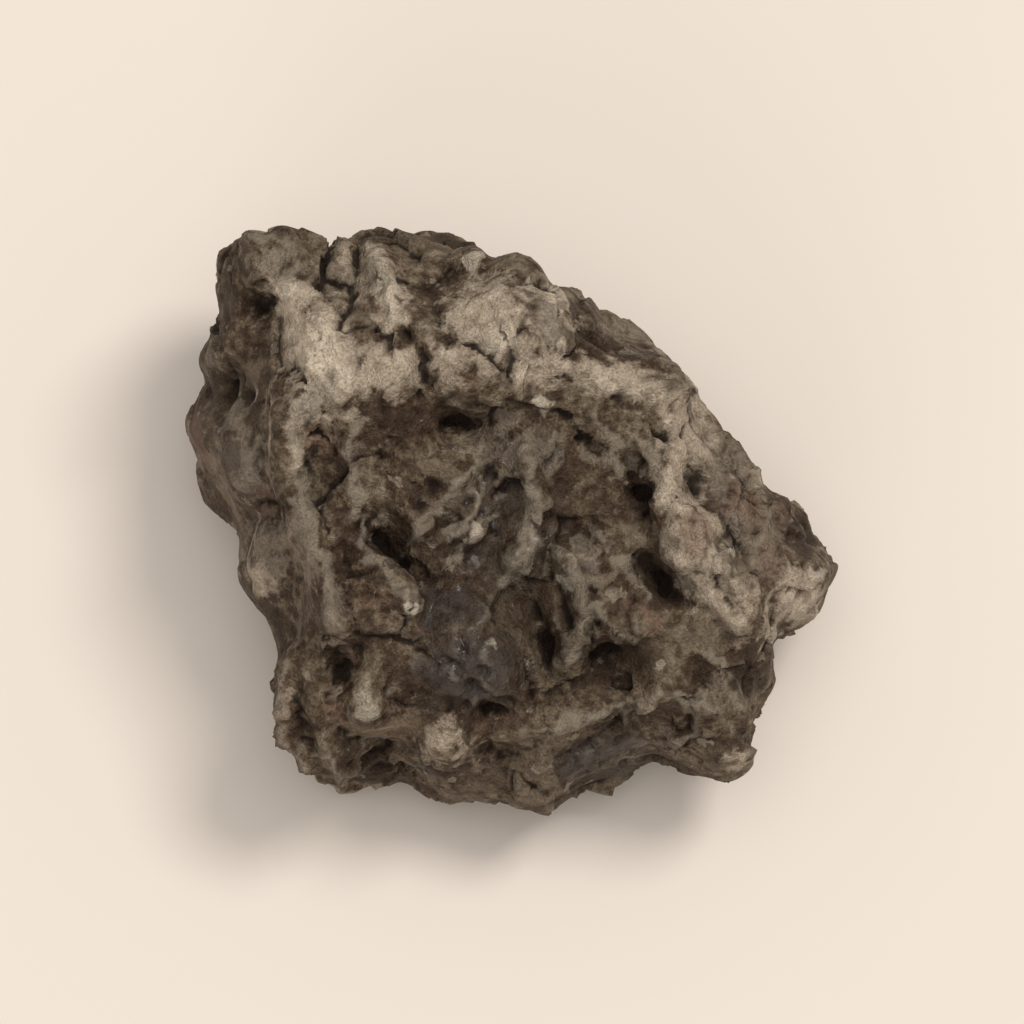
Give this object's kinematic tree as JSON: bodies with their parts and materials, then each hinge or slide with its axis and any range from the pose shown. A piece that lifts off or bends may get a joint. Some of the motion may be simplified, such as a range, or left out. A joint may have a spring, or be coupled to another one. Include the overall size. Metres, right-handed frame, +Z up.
{
  "type": "lunar meteorite",
  "caption": "Small rough stone: a dark brown breccia with tan clasts, ridges, ledges and pits, which rests on a small flat spot of its underside.",
  "frame": {"origin": "bottom centre of the bounding box, on the surface that the stone rests on", "axes": "+X along the stone's length, +Z up from the resting spot, +Y away from the side that the picture is taken from"},
  "size_m": [0.013, 0.0116, 0.0081],
  "materials": {
    "stone": "matte broken rock with patches of dark glassy crust"
  },
  "bodies": {
    "root": {"stone": "stone"}
  },
  "joints": []
}
